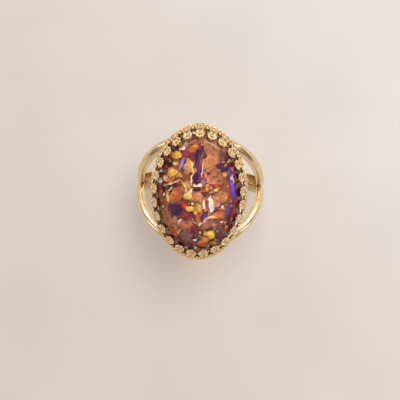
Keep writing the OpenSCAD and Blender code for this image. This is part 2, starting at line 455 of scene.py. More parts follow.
def clear_glass():
    """Clear glass that lets the lamps through to the chips inside it."""
    material, nodes, links, shader = new_material("clear_polished_glass")
    shader.inputs["Base Color"].default_value = (1, 0.985, 0.965, 1)
    shader.inputs["Transmission Weight"].default_value = 1
    shader.inputs["IOR"].default_value = 1.5
    shader.inputs["Roughness"].default_value = 0.015
    bump(nodes, links, shader, noise(nodes, links, 500, 2), 0.012, 0.05)
    rays = nodes.new("ShaderNodeLightPath")
    lamps = nodes.new("ShaderNodeBsdfTransparent")
    mix = nodes.new("ShaderNodeMixShader")
    links.new(rays.outputs["Is Shadow Ray"], mix.inputs["Fac"])
    links.new(shader.outputs["BSDF"], mix.inputs[1])
    links.new(lamps.outputs["BSDF"], mix.inputs[2])
    links.new(mix.outputs["Shader"], nodes["Material Output"].inputs["Surface"])
    return material


polished = gold_material("polished_gold", np.array([0.88, 0.68, 0.40]), 0.14, 0.04)
# Cast gold carries painted shade in its recesses through its tone attribute, partly patina.
cast = gold_material("cast_gold", np.array([0.95, 0.73, 0.42]), 0.15, 0.05, with_recess_shade_and_patina=True)
solder = gold_material("satin_solder", np.array([0.78, 0.55, 0.28]), 0.34, 0.5)


def recess_shade_and_patina(out, deep, raised):
    """Tones of cast metal that is browner in its recesses, from how far out its points lie: painted
    shade in the hollows, partly the antiqued patina of the metal.
    """
    share = np.clip((out - deep) / (raised - deep), 0, 1)[:, None]
    share = share * share * (3 - 2 * share)
    return (1 - share) * np.array([0.6, 0.4, 0.22]) + share


# --- Shank ---

def rail_rise(z):
    """How far a rail has moved out along the finger at height z, with an even bend at the turn."""
    u = np.clip((z + rail_turn) / (2 * rail_turn), 0, 1)
    return 2 * rail_turn * (u ** 3 - u ** 4 / 2) + np.maximum(z - rail_turn, 0)


def rail_rise_slope(z):
    u = np.clip((z + rail_turn) / (2 * rail_turn), 0, 1)
    return u * u * (3 - 2 * u)


def rail_section():
    """D section as (outwards, across) points: flat inside with eased corners, crowned outside."""
    ease = 0.14
    crown = np.linspace(-90, 90, 29)
    points = [(-rail_flank + (rail_t / 2 + rail_flank) * math.cos(math.radians(a)),
               rail_w / 2 * math.sin(math.radians(a))) for a in crown]
    for side, turns in ((1, range(90, 181, 18)), (-1, range(180, 271, 18))):
        for a in turns:
            turn = math.radians(a)
            points.append((-rail_t / 2 + ease + ease * math.cos(turn),
                           side * (rail_w / 2 - ease) + ease * math.sin(turn)))
    return np.array(points)


def rail_mesh(side):
    count = 480
    section = rail_section()
    angle = np.arange(count)[:, None] * TAU / count
    z = mid_r * np.sin(angle)
    lean = rail_spread * rail_rise_slope(z) * np.cos(angle)
    hand_polish = 0.012 * (np.sin(5 * angle + side) + np.sin(11 * angle + 2 * side))
    out = section[None, :, 0]
    across = (section[None, :, 1] * (1 + hand_polish)) / np.hypot(1, lean)
    r = mid_r + out * np.where(out > 0, 1 + hand_polish, 1)
    y = rail_w / 2 + rail_spread * rail_rise(z)
    verts = np.stack([r * np.cos(angle) + across * lean * np.sin(angle),
                      np.broadcast_to(y, across.shape) + across,
                      r * np.sin(angle) - across * lean * np.cos(angle)], axis=-1)
    verts[..., 2] = np.minimum(verts[..., 2], plate_z)
    verts[..., 1] *= side
    faces = grid_faces(count, len(section), close_rows=True)
    if side < 0:
        faces = [f[::-1] for f in faces]
    return verts.reshape(-1, 3), faces


def back_solder_mesh():
    """Solder in the groove between the rails, its top hollow, and wider where they part."""
    count = 220
    lowest = -rail_flank
    shares = np.linspace(-1, 1, 11)
    rings = []
    for angle in np.linspace(math.pi, TAU, count):
        z = mid_r * math.sin(angle)
        half = 0.17 + rail_spread * float(rail_rise(np.float64(z))) * 0.9
        fill = 0.1 + 0.02 * math.sin(31 * angle) + 0.015 * math.sin(53 * angle + 1)
        points = [(lowest, half * 0.7), (lowest, -half * 0.7)]
        points += [(fill + 0.2 * s * s, half * s) for s in shares]
        rings.append([((mid_r + out) * math.cos(angle), across, (mid_r + out) * math.sin(angle))
                      for out, across in points])
    return capped_loft(rings)


def shoulder_solder_mesh():
    """Fillets of solder where each rail meets the plate."""
    step = 0.045
    reach = 1.15
    centre = np.array([mid_r * 0.48, rail_w / 2 + rail_spread * mid_r * 0.9, plate_z])
    low = centre - (reach + 0.1)
    p = sample(low, centre + np.array([reach + 0.1, reach + 0.1, 0.25]), step)
    angle = np.arctan2(p[2], p[0])
    z = mid_r * np.sin(angle)
    lean = rail_spread * rail_rise_slope(z) * np.cos(angle)
    across = (p[1] - rail_w / 2 - rail_spread * rail_rise(z)) * np.hypot(1, lean)
    out = np.hypot(p[0], p[2]) - mid_r + rail_flank
    crown = (np.hypot(out / (rail_t / 2 + rail_flank), across / (rail_w / 2)) - 1) * rail_w / 2
    rail = np.where(out > 0, crown, np.abs(across) - rail_w / 2)
    under_plate = plate_z - p[2]
    # The solder stops where it is thinner than `least`, so it has no feathered edge
    least = 0.03
    fillet = blend_min(rail, under_plate, 0.75) + least
    field = blend_max(fillet, sphere(p, centre, reach), 0.2)
    field = np.maximum(field, -rail)
    field = np.maximum(field, -under_plate)
    field = np.maximum(field, finger_r + 0.05 - np.hypot(p[0], p[2]))
    verts, faces = surface_net(blurred(field), low, step)
    parts = []
    for side_x in (1, -1):
        for side_y in (1, -1):
            turned = faces if side_x * side_y > 0 else [f[::-1] for f in faces]
            parts.append((verts * np.array([side_x, side_y, 1]), turned))
    return join(parts)


def build_shank():
    for node, side in (("fingertip_rail", 1), ("knuckle_rail", -1)):
        add_piece("polished_" + node, node, "gold_metal", *rail_mesh(side), polished)
    for name, node, shape in (("back_seam", "back_solder", back_solder_mesh()),
                              ("shoulder_fillets", "shoulder_solders", shoulder_solder_mesh())):
        add_piece(name, node, "gold_solder", *shape, solder)


# --- Crown ---

def plate_mesh():
    """Plate with rolled edges and a shallow groove stamped round its underside."""
    edge = 0.12
    turns = np.radians(np.linspace(-90, 90, 13))
    under = [(2.6, 0), (1.25, 0), (1.12, 0.05), (1.0, 0.05), (0.87, 0), (edge, 0)]
    profile = [(inset, plate_z + z) for inset, z in under[:-1]]
    height = seat_z - plate_z
    profile += [(edge * (1 - math.cos(a)), plate_z + height / 2 * (1 + math.sin(a))) for a in turns]
    return capped_loft(oval_rings(profile, plate_oval))


def wall_mesh():
    """The gallery strip: one pitch of its pierced pattern, repeated and bent round the crown."""
    columns = 39
    cell = 0.0495
    step = np.array([pitch / columns, cell, cell])
    low = np.array([-pitch / 2, -wall_t - 0.14, -0.14])
    axes = [low[0] + np.arange(columns) * step[0],
            np.arange(low[1], 0.4, cell), np.arange(low[2], wall_rise + 0.3, cell)]
    along, out, up = np.meshgrid(*axes, indexing="ij")
    p = (out, along, up)
    half = pitch / 2
    # A gore under each prong, and a short stalk under each notch between the prongs
    foot = stem + 0.15
    stalk_half, stalk_top = 0.13, wall_rise * 0.8
    width = foot + (stem - foot) * np.clip((up - band_h) / (wall_rise - band_h), 0, 1)
    gore = np.maximum(np.abs(along) - width, up - wall_rise)
    stalk = np.maximum(half - np.abs(along) - stalk_half, up - stalk_top)
    outline = np.maximum(blend_min(blend_min(gore, up - band_h, 0.2), stalk, 0.1), -up)
    field = plate_of(outline, out, -wall_t / 2 - 0.03, wall_t - 0.06, 0.03)
    # A ring round the hole, wire along the foot and the gore's edges, and a ball on the stalk
    hole_z, hole_r, ring_r, foot_wire_r, ball_r = wall_rise * 0.42, 0.2, 0.28, 0.12, 0.225
    field = blend_min(field, ring(p, (-0.04, 0, hole_z), ring_r, 0.075), 0.04)
    field = blend_min(field, rod(p, (0, -half, 0.13), (0, half, 0.13), foot_wire_r), 0.05)
    for side in (-1, 1):
        low_end = (wire_out, side * (foot - 0.03), 0.25)
        high_end = (wire_out, side * (stem - 0.03), wall_rise)
        field = blend_min(field, rod(p, low_end, high_end, wire_r), 0.04)
        field = blend_min(field, sphere(p, (-0.06, side * half, stalk_top), ball_r), 0.03)
    field = blend_max(field, hole_r - np.hypot(along, up - hole_z), 0.05)
    verts, faces = surface_net(np.tile(field, (prong_n, 1, 1)), low, step, wrap=True)
    t = place(verts[:, 0] / pitch)
    share = (verts[:, 2] / wall_rise)[:, None]
    middle = oval_point(foot_oval, t) * (1 - share) + oval_point(rim_oval, t) * share
    flat = middle + oval_normal(rim_oval, t) * verts[:, 1:2]
    bent = np.column_stack([flat, seat_z + verts[:, 2]])
    # The gallery's tones are painted shade in its recesses, partly patina.
    return bent, faces, cast, recess_shade_and_patina(verts[:, 1], -0.09, 0)


def prong_prototype(length):
    """A cast claw: a tapered stem edged with wire, and a flower-like petal ringed with beads."""
    step = 0.034
    margin = 0.32
    low = np.array([-wall_t - 0.16, -petal_r - margin, -0.16])
    p = sample(low, (margin, petal_r + margin, length + 0.34), step)
    x, y, z = p
    petal_z = length - petal_r
    neck = petal_r * 0.42
    width = stem + (neck - stem) * np.clip(z / petal_z, 0, 1)
    outline = np.maximum(np.maximum((np.abs(y) - width) * 0.93, z - petal_z), -z - 0.07)
    field = plate_of(outline, x, -wall_t / 2 - 0.05, wall_t - 0.1, 0.04)
    for side in (-1, 1):
        low_end = (wire_out, side * (stem - 0.03), 0)
        high_end = (wire_out, side * (neck - 0.1), petal_z - 0.35)
        field = blend_min(field, rod(p, low_end, high_end, wire_r), 0.04)
    round_outline = np.hypot(y, z - petal_z) - (petal_r - 0.06)
    field = blend_min(field, plate_of(round_outline, x, -wall_t / 2, wall_t, 0.08), 0.05)
    # The petal is hollowed a little, and a boss fills the hollow
    field = blend_max(field, -sphere(p, (0.42, 0, petal_z), 0.56), 0.03)
    field = blend_min(field, sphere(p, (-0.08, 0, petal_z), 0.2), 0.02)
    bead_step = 42
    for turn in np.radians(np.arange(-3, 4) * bead_step):
        centre = (-0.07, petal_r * math.sin(turn), petal_z + petal_r * math.cos(turn))
        field = blend_min(field, sphere(p, centre, bead_r), 0.015)
    # A groove runs out between each two beads
    for turn in np.radians((np.arange(-3, 3) + 0.5) * bead_step):
        direction = np.array([0, math.sin(turn), math.cos(turn)])
        start = np.array([0.06, 0, petal_z]) + direction * 0.3
        field = blend_max(field, -rod(p, start, start + direction * 0.4, 0.06), 0.02)
    return surface_net(blurred(field), low, step)


def prong_points(points, i, length):
    """Bends a flat prong so that it rises from the rim and closes over the stone."""
    t = place(i) + rng.normal(0, 0.004)
    lean = rng.normal(0, 0.02)
    normal = oval_normal(rim_oval, t)
    side = np.array([-normal[1], normal[0]])
    reach = [np.linalg.norm(oval * normal) for oval in (rim_oval, tip_oval)]
    inward = reach[0] - reach[1]
    u = points[:, 2] / length
    straight = 0.57
    inset = inward * (straight * u + (1 - straight) * u * u)
    slope = inward * (straight + 2 * (1 - straight) * u) / prong_rise
    tilt = 1 / np.hypot(1, slope)
    out = points[:, 0] * tilt - inset
    up = prong_rise * u + points[:, 0] * slope * tilt
    across = points[:, 1] + lean * points[:, 2]
    flat = oval_point(rim_oval, t) + out[:, None] * normal + across[:, None] * side
    return np.column_stack([flat, seat_z + wall_rise + up])


def build_crown():
    add_piece("stamped_plate", "base_plate", "gold_metal", *plate_mesh(), polished, crease=40)
    add_piece("pierced_gallery", "gallery_wall", "gold_metal", *wall_mesh())
    turns = np.radians(np.linspace(0, 180, 9))
    seam = [(wall_t + 0.05 + 0.08 * (1 - math.cos(a)), seat_z + 0.15 * math.sin(a)) for a in turns]
    rings = oval_rings(seam, foot_oval)
    verts = rings.reshape(-1, 3)
    faces = grid_faces(len(seam), rings.shape[1], close_rows=True)
    add_piece("seat_seam", "wall_solder", "gold_solder", verts, faces, solder)
    length = math.hypot(np.mean(rim_oval - tip_oval), prong_rise)
    points, faces = prong_prototype(length)
    # Painted shade in the prongs' recesses and on their backs, partly patina.
    tones = recess_shade_and_patina(points[:, 0], -0.1, 0.02)
    for i in range(prong_n):
        name = f"prong_{i + 1}"
        bent = prong_points(points, i, length)
        add_piece("beaded_" + name, name, "gold_metal", bent, faces, cast, tones)


# --- Stone ---

# Tones of the glass, by the piece that holds them
TONES = {
    "tan_glass": {"tan": srgb(180, 118, 74), "rose": srgb(168, 104, 74),
        "brown": srgb(172, 112, 76), "sand": srgb(200, 148, 92), "blush": srgb(200, 136, 112)},
    "amber_glass": {"rust": srgb(188, 102, 52), "amber": srgb(232, 146, 48),
        "red": srgb(208, 58, 22), "toffee": srgb(160, 92, 44)},
    "gold_glass": {"gold": srgb(244, 188, 78), "olive": srgb(200, 152, 76),
        "lemon": srgb(252, 220, 134)},
    "violet_glass": {"plum": srgb(72, 20, 84), "violet": srgb(106, 60, 170),
        "lavender": srgb(150, 122, 196), "blue": srgb(108, 74, 236), "ink": srgb(40, 14, 54)},
    "maroon_glass": {"maroon": srgb(72, 16, 28), "wine": srgb(134, 46, 58),
        "mauve": srgb(128, 74, 82), "dusk": srgb(92, 52, 54), "soot": srgb(36, 16, 26),
        "lilac": srgb(196, 146, 160)},
    # The leaf's silver, cream and pink also serve as painted glints and a painted highlight in the
    # stone.
    "leaf": {"cream": srgb(250, 232, 190), "silver": srgb(240, 238, 240),
        "pink": srgb(246, 190, 178)},
}

# Glass flakes, lowest first: tone, middle x and y, length, width, turn from +X in degrees
FLAKES = [
    ("tan", 2.0, 7.0, 3.2, 2.6, 80), ("tan", 1.8, 4.8, 2.6, 2.4, 0),
    ("rose", 2.2, 2.7, 3.0, 2.4, 0), ("tan", -1.3, 7.7, 2.2, 1.4, 0),
    ("brown", 0.2, 7.9, 2.2, 1.5, 0), ("dusk", 4.3, 5.4, 1.4, 1.2, 0),
    ("brown", 3.4, 6.4, 1.2, 1.6, 0), ("maroon", 5.4, 1.4, 1.2, 4.6, 0),
    ("maroon", -4.8, 4.6, 2.0, 2.4, 30), ("wine", -1.6, 6.0, 1.7, 1.6, 0),
    ("rust", -0.9, 6.6, 1.2, 1.2, 0), ("rust", -4.5, 2.1, 2.0, 1.0, 10),
    ("toffee", -2.6, 2.2, 1.4, 1.6, 0), ("tan", 3.4, -0.2, 2.0, 2.3, 70),
    ("tan", 0.0, -0.2, 1.4, 1.7, 90), ("rust", -3.2, -0.2, 2.7, 1.9, 80),
    ("toffee", -5.4, -1.1, 1.8, 1.4, 80), ("brown", -4.9, -3.3, 2.0, 2.2, -25),
    ("brown", -3.6, -4.3, 1.5, 1.4, 0), ("rose", -2.0, -4.3, 2.4, 1.7, 0),
    ("mauve", -1.7, -6.3, 2.0, 1.9, 0), ("rust", -3.1, -5.7, 1.4, 1.3, 0),
    ("wine", -1.6, -3.1, 1.6, 1.4, 0), ("mauve", 3.7, -5.7, 2.1, 2.0, 0),
    ("rose", 1.2, -4.2, 1.4, 1.8, 0), ("rust", 3.2, -2.8, 2.0, 1.3, 0),
    ("wine", 5.0, -2.6, 1.2, 1.9, 0), ("plum", 5.1, -4.2, 1.2, 1.7, 0),
    ("blush", 2.5, -1.2, 1.1, 1.7, 80), ("mauve", 2.9, -4.2, 1.4, 1.1, 0),
    ("sand", -1.6, 1.4, 1.0, 1.5, 0), ("tan", -2.1, 0.9, 0.9, 1.6, 0),
    ("plum", 1.0, -2.9, 0.9, 1.4, -35), ("wine", -0.3, -4.6, 1.0, 1.6, 15),
    ("rust", 0.7, -7.2, 1.5, 1.0, 0), ("olive", 1.9, -6.0, 1.6, 1.9, 10),
    ("soot", -3.8, 6.6, 1.8, 1.5, 20), ("maroon", -4.6, 5.6, 1.3, 0.9, 0),
    ("plum", 0.3, 6.3, 0.5, 1.3, -15), ("plum", 3.0, 4.3, 1.1, 1.1, 0),
    ("plum", -0.2, 4.9, 0.6, 3.0, 5), ("plum", -0.3, 2.7, 1.2, 2.0, 0),
    ("sand", -1.5, 4.2, 1.5, 2.2, -15), ("gold", -3.3, 5.6, 1.5, 1.1, 35),
    ("amber", -3.0, 6.0, 0.7, 0.6, 0), ("gold", -3.8, 3.2, 1.5, 1.2, 20),
    ("olive", -2.9, 2.9, 1.4, 0.9, -10), ("red", -3.4, 4.0, 0.6, 0.7, 0),
    ("amber", -3.9, 5.8, 0.9, 0.35, -10), ("maroon", -0.2, 0.9, 1.4, 0.6, 0),
    ("lemon", -1.5, -0.1, 1.3, 1.2, 0), ("gold", -1.3, -0.3, 0.9, 0.7, 30),
    ("red", -1.9, -1.4, 1.2, 0.8, -20), ("olive", 0.1, -1.9, 1.1, 1.8, 0),
    ("gold", -1.2, -2.0, 1.5, 0.8, -5), ("lemon", -1.0, -1.9, 0.8, 0.4, -10),
    ("plum", -3.1, -2.0, 2.1, 1.6, 0), ("ink", -3.2, -2.7, 1.2, 0.9, 0),
    ("wine", -2.2, -2.9, 0.9, 0.9, 0), ("amber", 1.1, -6.6, 1.2, 0.9, -20),
    ("gold", 2.0, -6.0, 1.1, 1.3, 10), ("gold", 2.2, -3.2, 1.6, 0.5, 0),
    ("red", 2.7, 1.4, 1.3, 0.3, 5), ("lavender", 0.8, 2.1, 0.35, 1.2, -4),
    ("rose", 2.4, -4.3, 0.8, 0.6, 0), ("wine", 5.3, -0.9, 0.8, 0.9, 0),
    ("ink", 5.6, 3.0, 0.6, 1.5, 5), ("rust", -5.4, 0.2, 0.7, 0.5, 30),
    ("lilac", 1.1, -3.7, 0.5, 0.9, -20), ("dusk", 4.6, -4.9, 1.0, 0.9, 0),
    ("amber", -4.2, 2.8, 0.8, 0.5, 20), ("mauve", 3.3, 5.7, 0.8, 1.4, 20),
    ("red", -2.0, -1.7, 0.7, 0.5, 10), ("toffee", -5.0, -0.9, 0.9, 1.1, 20),
]

# Flecks of leaf, many of the silver and cream ones painted glints where the stone catches the
# light: tone, x, y, length, width, turn
LEAF_FLECKS_AND_GLINTS = [
    ("silver", -2.3, 6.7, 0.75, 0.4, 30), ("lemon", -2.8, 6.5, 0.4, 0.3, 0),
    ("silver", -5.5, 3.2, 0.5, 0.45, 0), ("silver", -5.6, 1.8, 0.7, 0.9, 20),
    ("cream", -0.8, -1.2, 0.35, 0.35, 0), ("cream", 3.6, -1.7, 0.3, 0.6, -10),
    ("cream", 3.5, -3.9, 0.45, 0.35, 20), ("lemon", 2.6, 0.9, 0.9, 0.5, 15),
    ("silver", -4.9, -5.0, 0.5, 0.35, -40), ("cream", -4.5, -5.3, 0.4, 0.3, 0),
    ("silver", -4.4, -5.8, 0.4, 0.3, 30), ("cream", 0.4, -5.5, 0.35, 0.45, 0),
    ("silver", -0.3, -6.7, 0.6, 0.4, 10), ("cream", -5.1, -1.9, 0.4, 0.5, 0),
    ("silver", -5.8, -2.4, 0.4, 0.5, 30), ("pink", 2.0, -3.2, 0.3, 0.25, 0),
    ("cream", 1.5, -3.3, 0.3, 0.25, 0), ("cream", -3.5, 4.5, 0.6, 0.4, -20),
    ("silver", -0.3, -8.0, 0.5, 0.6, 0), ("cream", 0.1, 1.5, 0.9, 0.4, 5),
    ("cream", -5.0, -0.1, 0.3, 0.6, -30), ("cream", 2.9, -5.3, 0.4, 0.25, 50),
    ("cream", 4.0, -4.0, 0.3, 0.25, 0),
]

# Cracks filled with leaf, and one painted highlight: tone, width and the points that they run
# through
CRACKS = [
    ("cream", 0.26, [(-5.1, 1.2), (-4.4, 1.4), (-3.5, 1.7), (-2.7, 2.2), (-2.3, 1.9)]),
    ("lemon", 0.34, [(-2.3, 1.9), (-2.0, 1.2), (-1.7, 0.5)]),
    ("cream", 0.3, [(-1.8, 0.5), (-1.2, 0.5), (-0.9, 1.1)]),
    ("lemon", 0.26, [(-0.8, 3.8), (-0.9, 2.7), (-1.1, 1.3)]),
    ("cream", 0.4, [(-0.8, 1.6), (-0.2, 1.4), (0.4, 1.8)]),
    ("lemon", 0.36, [(-3.9, 1.2), (-4.3, 0.4), (-4.5, -0.3), (-4.3, -1.2)]),
    ("lemon", 0.2, [(-1.2, 5.0), (-0.9, 4.1), (-0.8, 3.4)]),
    ("pink", 0.2, [(0.4, 5.3), (0.5, 3.9), (0.5, 2.6)]),
    ("cream", 0.2, [(-2.9, -3.8), (-2.4, -3.6), (-2.8, -4.4)]),
    ("lemon", 0.2, [(-0.9, -3.4), (-0.5, -3.9), (0.1, -4.3)]),
    ("silver", 0.16, [(0.7, -4.0), (0.2, -4.5)]),
    # This short pink line is a painted highlight, where a lamp's reflection lies on the stone.
    ("pink", 0.16, [(4.9, 2.4), (5.1, 1.7)]),
    ("lemon", 0.18, [(4.0, 4.7), (4.5, 5.1)]),
    ("lemon", 0.16, [(-2.9, -5.8), (-2.4, -5.2)]),
    ("cream", 0.16, [(2.3, -4.5), (2.7, -5.1)]),
    ("lemon", 0.16, [(1.3, -3.2), (2.3, -3.0), (3.0, -3.4)]),
]

# Long smooth streaks of coloured glass, in the same form
STREAKS = [
    ("violet", 0.4, [(4.3, 4.3), (4.4, 3.2), (4.7, 2.0), (4.9, 1.2)]),
    ("blue", 0.5, [(4.6, 2.2), (4.9, 1.2), (5.1, 0.2), (5.1, -0.6)]),
    ("blue", 0.3, [(4.9, 1.0), (5.1, 0.2), (5.15, -0.4)]),
    ("violet", 0.45, [(4.6, -1.0), (4.3, -2.2), (4.0, -3.5)]),
    ("ink", 0.16, [(-4.6, 1.1), (-3.9, 1.25), (-3.2, 1.5)]),
    ("lavender", 0.5, [(-2.1, 5.5), (-2.5, 4.6), (-2.8, 3.5)]),
]


def flake(x, y, length, width, turn, lift, thickness, corners=6, tilt=6):
    """A broken plate of glass on the dome, `lift` above the dark core."""
    turns = (np.arange(corners) + rng.uniform(-0.35, 0.35, corners)) * TAU / corners
    reach = rng.uniform(0.82, 1.25, corners)
    tips = np.column_stack([np.cos(turns), np.sin(turns)]) * reach[:, None]
    share = np.array([0.06, 0.35, 0.65, 0.94])[:, None]
    edge = np.vstack([a + (b - a) * share for a, b in zip(tips, np.roll(tips, -1, axis=0))])
    edge *= 1 + 0.025 * rng.standard_normal((len(edge), 1))
    edge *= np.array([length, width]) / 2
    turn = math.radians(turn)
    slope = np.tan(np.radians(rng.uniform(-tilt, tilt, 2)))
    rings = []
    for share, height in ((0.45, 0), (0.99, 0), (1, 0.3), (0.99, 0.9), (0.95, 1), (0.45, 1.1)):
        px, py = (edge * share).T
        xy = np.column_stack([x + px * math.cos(turn) - py * math.sin(turn),
                              y + px * math.sin(turn) + py * math.cos(turn)])
        wave = (px * slope[0] + py * slope[1]) * 0.6
        inset = cover_t - np.clip(lift + wave, 0.01, cover_t - 0.25) - thickness * height
        rings.append(on_shell(xy, inset[:, None]))
    return capped_loft(rings)


def soften(values, times=4):
    """Evens out a row of random values."""
    for _ in range(times):
        padded = np.concatenate([values[:1], values, values[-1:]])
        values = (padded[:-2] + 2 * padded[1:-1] + padded[2:]) / 4
    return values


def crack(width, points, lift, ragged=0.5, thickness=0.04):
    """A torn ribbon of leaf through the given points."""
    points = np.array(points, float)
    steps = np.concatenate([[0], np.cumsum(np.linalg.norm(np.diff(points, axis=0), axis=1))])
    count = max(8, int(steps[-1] / 0.08))
    s = np.linspace(0, steps[-1], count)
    path = np.column_stack([np.interp(s, steps, points[:, c]) for c in (0, 1)])
    for _ in range(3):
        path[1:-1] = (path[:-2] + 2 * path[1:-1] + path[2:]) / 4
    ahead = np.gradient(path, axis=0)
    ahead /= np.linalg.norm(ahead, axis=1, keepdims=True)
    side = np.column_stack([-ahead[:, 1], ahead[:, 0]])
    share = s / steps[-1]
    half = width / 2 * (0.2 + 0.8 * np.sin(math.pi * np.clip(share, 0.02, 0.98)) ** 0.5)
    if ragged:
        path += side * soften(rng.normal(0, 0.12, count))[:, None]
        half = half * np.clip(soften(rng.normal(1, 1, count)), 0.3, 1.9)
    torn = [half * (1 + ragged * soften(rng.normal(0, 1.2, count))) for _ in range(2)]
    rings = []
    for k in range(count):
        corners = [(-torn[0][k], 0), (torn[1][k], 0), (torn[1][k] * 0.8, thickness),
                   (0, thickness * 1.4), (-torn[0][k] * 0.8, thickness)]
        xy = np.array([path[k] + side[k] * off for off, _ in corners])
        inset = np.array([[cover_t - lift - up] for _, up in corners])
        rings.append(on_shell(xy, inset))
    return capped_loft(rings)


def shade_flake(points, tone, spread):
    """Each flake has one tone, a little lighter to one side."""
    direction = rng.uniform(-1, 1, 2)
    middle = points[:, :2].mean(axis=0)
    size = np.abs(points[:, :2] - middle).max() + 1e-6
    side = (points[:, :2] - middle) @ direction / size
    edge = np.linalg.norm(points[:, :2] - middle, axis=1) / size
    light = (1.08 + 0.35 * side - 0.3 * edge ** 3)[:, None]
    return tone * light * rng.uniform(1 - spread, 1 + spread)


def even_climb(count):
    """Shares of a dome's height for rings that lie evenly round its curve."""
    return np.sin(np.radians(np.linspace(0, 90, count)))


def core_ripple(angles, u):
    return 1 + 0.004 * np.sin(5 * angles + 9 * u) + 0.003 * np.sin(13 * angles + 21 * u)


def build_stone():
    sheet = [(2.0, seat_z), (0.0, seat_z), (0.0, foil_top), (2.0, foil_top)]
    foil = capped_loft(oval_rings(sheet, stone_oval - 0.1))
    add_piece("crinkled_foil_backing", "foil_backing", "foil", *foil, foil_material(), crease=30)

    edge = 0.06
    slab = [(edge, foil_top), (0, foil_top + edge),
            (0, chip_z - edge), (edge, chip_z), (cover_t, chip_z)]
    core_oval = stone_oval - cover_t
    core_rise = stone_top - girdle_z - cover_t
    core = capped_loft([*oval_rings(slab, stone_oval),
                        *dome_rings(core_oval, core_rise, even_climb(30), 0.03, core_ripple)])
    add_piece("cloudy_core", "base_glass", "base_glass", *core, core_material(), crease=50)
    add_chips()
    add_dome(core_oval, core_rise)


def add_dome(core_oval, core_rise):
    """The clear glass, hollow where the dark core and the chips fill it."""
    gap = 0.02
    climb = even_climb(60)
    outside = [*oval_rings([(0, chip_z + gap / 2)], stone_oval),
               *dome_rings(stone_oval, stone_top - girdle_z, climb, 0.012)]
    inside = [*oval_rings([(gap, chip_z + gap)], core_oval),
              *dome_rings(core_oval - gap, core_rise - gap, climb, 0.03)]
    hollow_points, hollow_faces = capped_loft(inside)
    verts, faces = join([capped_loft(outside), (hollow_points, [f[::-1] for f in hollow_faces])])
    add_piece("polished_dome", "glass_dome", "clear_glass", verts, faces, clear_glass(), crease=50)


def add_chips():
    family = {tone: slot for slot, tones in TONES.items() for tone in tones}
    colour = {tone: value for tones in TONES.values() for tone, value in tones.items()}
    groups = {slot: [] for slot in TONES}
    shades = {slot: [] for slot in TONES}

    def put(tone, part, spread=0.1):
        groups[family[tone]].append(part)
        shades[family[tone]].append(shade_flake(part[0], colour[tone], spread))

    # Small broken glass below, and among the larger flakes in tones near theirs
    common = ["tan", "rust", "brown", "maroon", "wine", "olive", "toffee", "dusk", "plum", "amber"]
    broken = {"tan", "rose", "rust", "brown", "olive", "toffee", "sand", "mauve", "wine"}
    middles = np.array([f[1:3] for f in FLAKES])
    sizes = np.array([f[3:5] for f in FLAKES]).mean(axis=1)
    crumbs, spread_share = 520, 0.93
    lowest, stack = 0.06, 0.36
    for k in range(crumbs):
        turn, rho = rng.uniform(0, TAU), math.sqrt(rng.uniform(0.0, 1))
        spot = stone_oval * rho * spread_share * np.array([math.sin(turn), math.cos(turn)])
        nearest = int(np.argmin(np.linalg.norm(middles - spot, axis=1) / sizes))
        size = rng.uniform(0.35, 1.0)
        shape = (*spot, size, size * rng.uniform(0.4, 1), rng.uniform(0, 180))
        if k % 2 and FLAKES[nearest][0] in broken:
            tone = FLAKES[nearest][0]
            lift = lowest - 0.01 + stack * nearest / len(FLAKES) + rng.uniform(0.01, 0.05)
        else:
            tone = common[rng.integers(len(common))]
            lift = rng.uniform(0, 0.12)
        put(tone, flake(*shape, lift, 0.03, corners=5), 0.3)
    for k, (tone, *shape) in enumerate(FLAKES):
        lift = lowest + stack * k / len(FLAKES)
        put(tone, flake(*shape, lift, 0.04), 0.12)
    # Streaks, cracks and flecks each lie a little higher than the one before; many of the flecks
    # are painted glints
    for k, (tone, width, points) in enumerate(STREAKS):
        put(tone, crack(width, points, 0.46 + 0.005 * k, ragged=0))
    for k, (tone, width, points) in enumerate(CRACKS):
        put(tone, crack(width, points, 0.5 + 0.004 * k))
    for k, (tone, *shape) in enumerate(LEAF_FLECKS_AND_GLINTS):
        put(tone, flake(*shape, 0.52 + 0.003 * k, 0.05, tilt=20))

    finish = {"tan_glass": ("tan_chips", 0.1, 0.3), "amber_glass": ("amber_chips", 0.2, 0.28),
              "gold_glass": ("gold_chips", 0.35, 0.28), "violet_glass": ("violet_chips", 0.2, 0.25),
              "maroon_glass": ("maroon_chips", 0.1, 0.28), "leaf": ("gold_leaf", 0.5, 0.3)}
    for slot, (node, metallic, roughness) in finish.items():
        verts, faces = join(groups[slot])
        tones = np.clip(np.vstack(shades[slot]), 0, 1)
        material = chip_material(slot, metallic, roughness)
        add_piece("fused_" + node, node, slot, verts, faces, material, tones, crease=45)


# --- Studio ---

